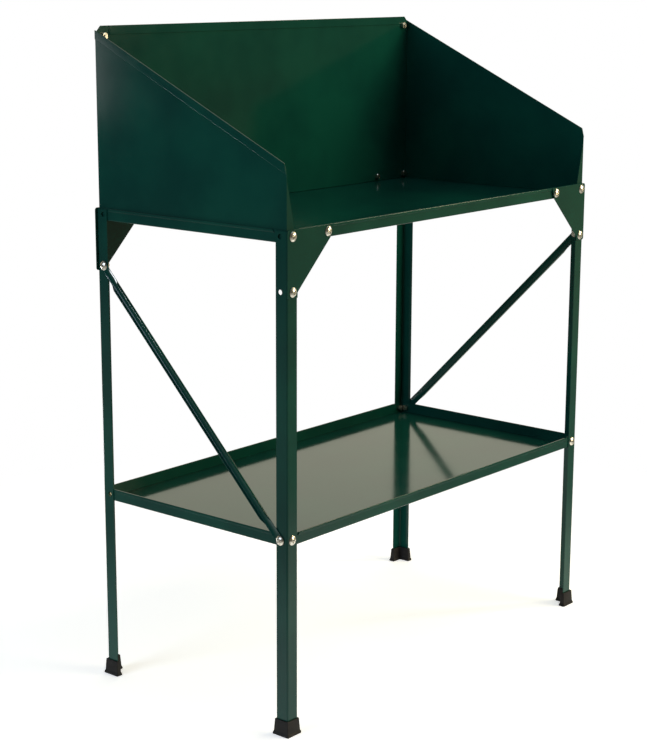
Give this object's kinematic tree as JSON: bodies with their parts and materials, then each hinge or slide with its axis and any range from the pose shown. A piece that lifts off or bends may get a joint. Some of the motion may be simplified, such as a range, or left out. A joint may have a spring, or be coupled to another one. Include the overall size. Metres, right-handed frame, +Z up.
{
  "type": "potting bench",
  "caption": "Bolted sheet-steel potting bench with a rimmed worktop, sloping side panels, a back panel, a rimmed lower shelf, angle legs in moulded shoes and diagonal end braces.",
  "frame": {"origin": "on the floor under the centre of the bench", "axes": "+X to the right along the front edge, +Y from the front to the rear, +Z up; the front is at -Y"},
  "size_m": [0.7714, 0.3926, 1.017],
  "materials": {
    "green_powder_coat": "gloss powder coat",
    "zinc_plate": "bright zinc plate",
    "black_shoe_rubber": "satin moulded rubber"
  },
  "bodies": {
    "root": {"leg_front_left": "green_powder_coat", "gusset_front_left": "green_powder_coat", "foot_front_left": "black_shoe_rubber", "bolts_gusset_front_left": "zinc_plate", "nuts_gusset_front_left": "zinc_plate", "leg_front_right": "green_powder_coat", "gusset_front_right": "green_powder_coat", "foot_front_right": "black_shoe_rubber", "bolts_gusset_front_right": "zinc_plate", "nuts_gusset_front_right": "zinc_plate", "leg_rear_left": "green_powder_coat", "gusset_rear_left": "green_powder_coat", "foot_rear_left": "black_shoe_rubber", "bolts_gusset_rear_left": "zinc_plate", "nuts_gusset_rear_left": "zinc_plate", "leg_rear_right": "green_powder_coat", "gusset_rear_right": "green_powder_coat", "foot_rear_right": "black_shoe_rubber", "bolts_gusset_rear_right": "zinc_plate", "nuts_gusset_rear_right": "zinc_plate", "worktop_tray": "green_powder_coat", "lower_shelf": "green_powder_coat", "back_panel": "green_powder_coat", "side_panel_left": "green_powder_coat", "side_panel_right": "green_powder_coat", "brace_left": "green_powder_coat", "brace_right": "green_powder_coat", "bolts_shelf": "zinc_plate", "nuts_shelf": "zinc_plate", "bolts_back_panel": "zinc_plate", "nuts_back_panel": "zinc_plate", "bolts_brace_left": "zinc_plate", "nuts_brace_left": "zinc_plate", "bolts_brace_right": "zinc_plate", "nuts_brace_right": "zinc_plate"}
  },
  "joints": []
}
